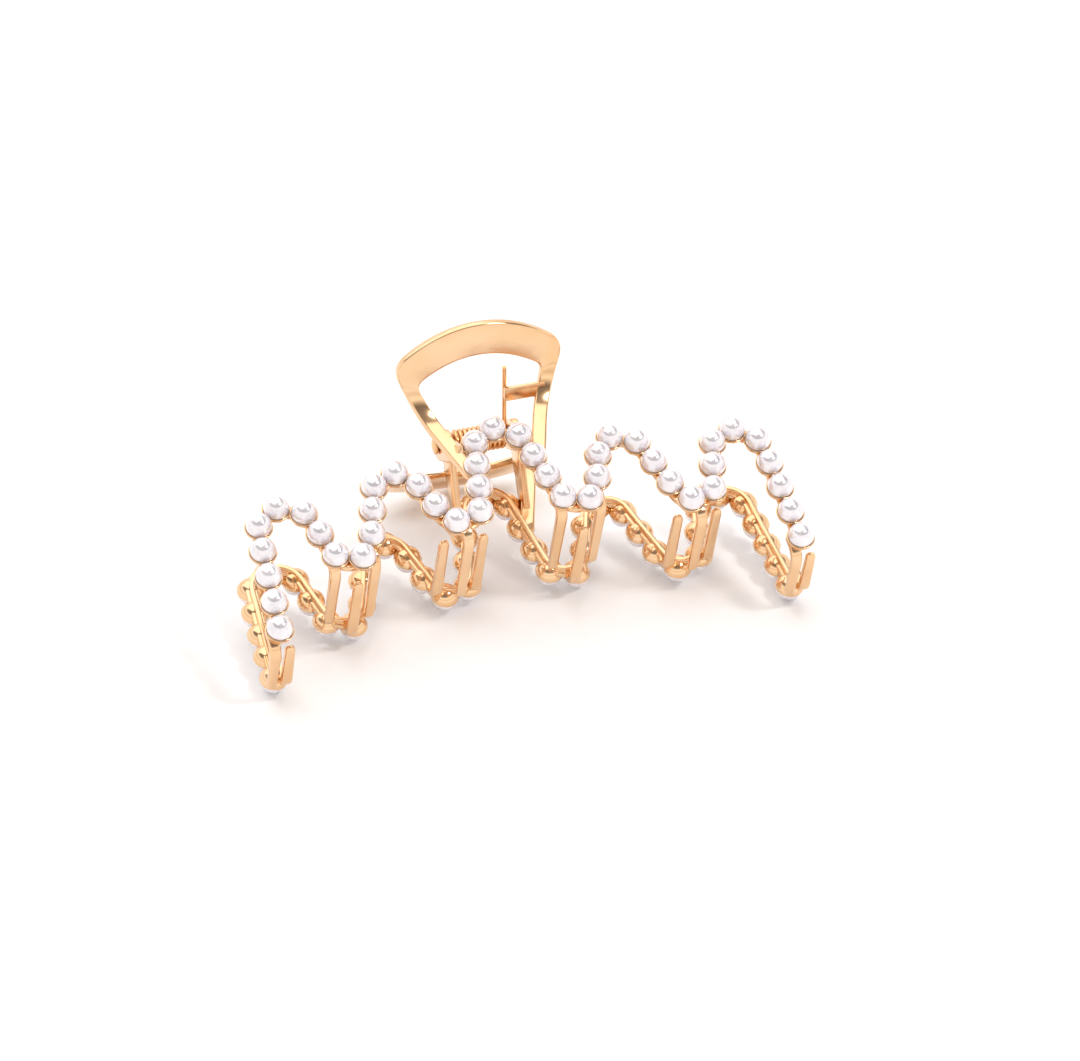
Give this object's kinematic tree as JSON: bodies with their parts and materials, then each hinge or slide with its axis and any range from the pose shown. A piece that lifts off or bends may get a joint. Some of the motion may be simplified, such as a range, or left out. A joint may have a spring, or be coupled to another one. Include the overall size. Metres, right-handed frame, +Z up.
{
  "type": "claw clip",
  "caption": "Gold metal hair claw clip with wavy pearl-studded jaws, interleaving teeth, open fan handles and a sprung hinge.",
  "frame": {"origin": "centre of the box's bottom face, on the table that the clip lies on", "axes": "+X along the hinge pin, to the right; +Y from the jaws' teeth towards the handles; +Z up from the table, out of the front jaw's pearls"},
  "size_m": [0.0864, 0.0486, 0.0398],
  "materials": {
    "gold_plate": "polished light gold electroplate on a zinc alloy casting",
    "gold_pin": "polished gold plated steel",
    "gold_wire": "gold plated spring wire",
    "pearl": "white pearlescent lacquer on acrylic beads"
  },
  "bodies": {
    "back": {"back_half": "gold_plate", "hinge_pin": "gold_pin", "spring": "gold_wire", "back_pearls_left_end": "pearl", "back_pearls_left": "pearl", "back_pearls_centre": "pearl", "back_pearls_right": "pearl", "back_pearls_right_end": "pearl"},
    "front": {"front_half": "gold_plate", "front_pearls_left_end": "pearl", "front_pearls_left": "pearl", "front_pearls_centre": "pearl", "front_pearls_right": "pearl", "front_pearls_right_end": "pearl"}
  },
  "joints": [
    {"name": "jaw_hinge", "type": "hinge", "parent": "back", "child": "front", "pos_m": [0, 0.01143, 0.01798], "axis": [-1, 0, 0], "range_deg": [0, 60], "stiffness_Nm_per_rad": 0.14, "springref_deg": -40.11, "deforming": ["spring"]}
  ]
}
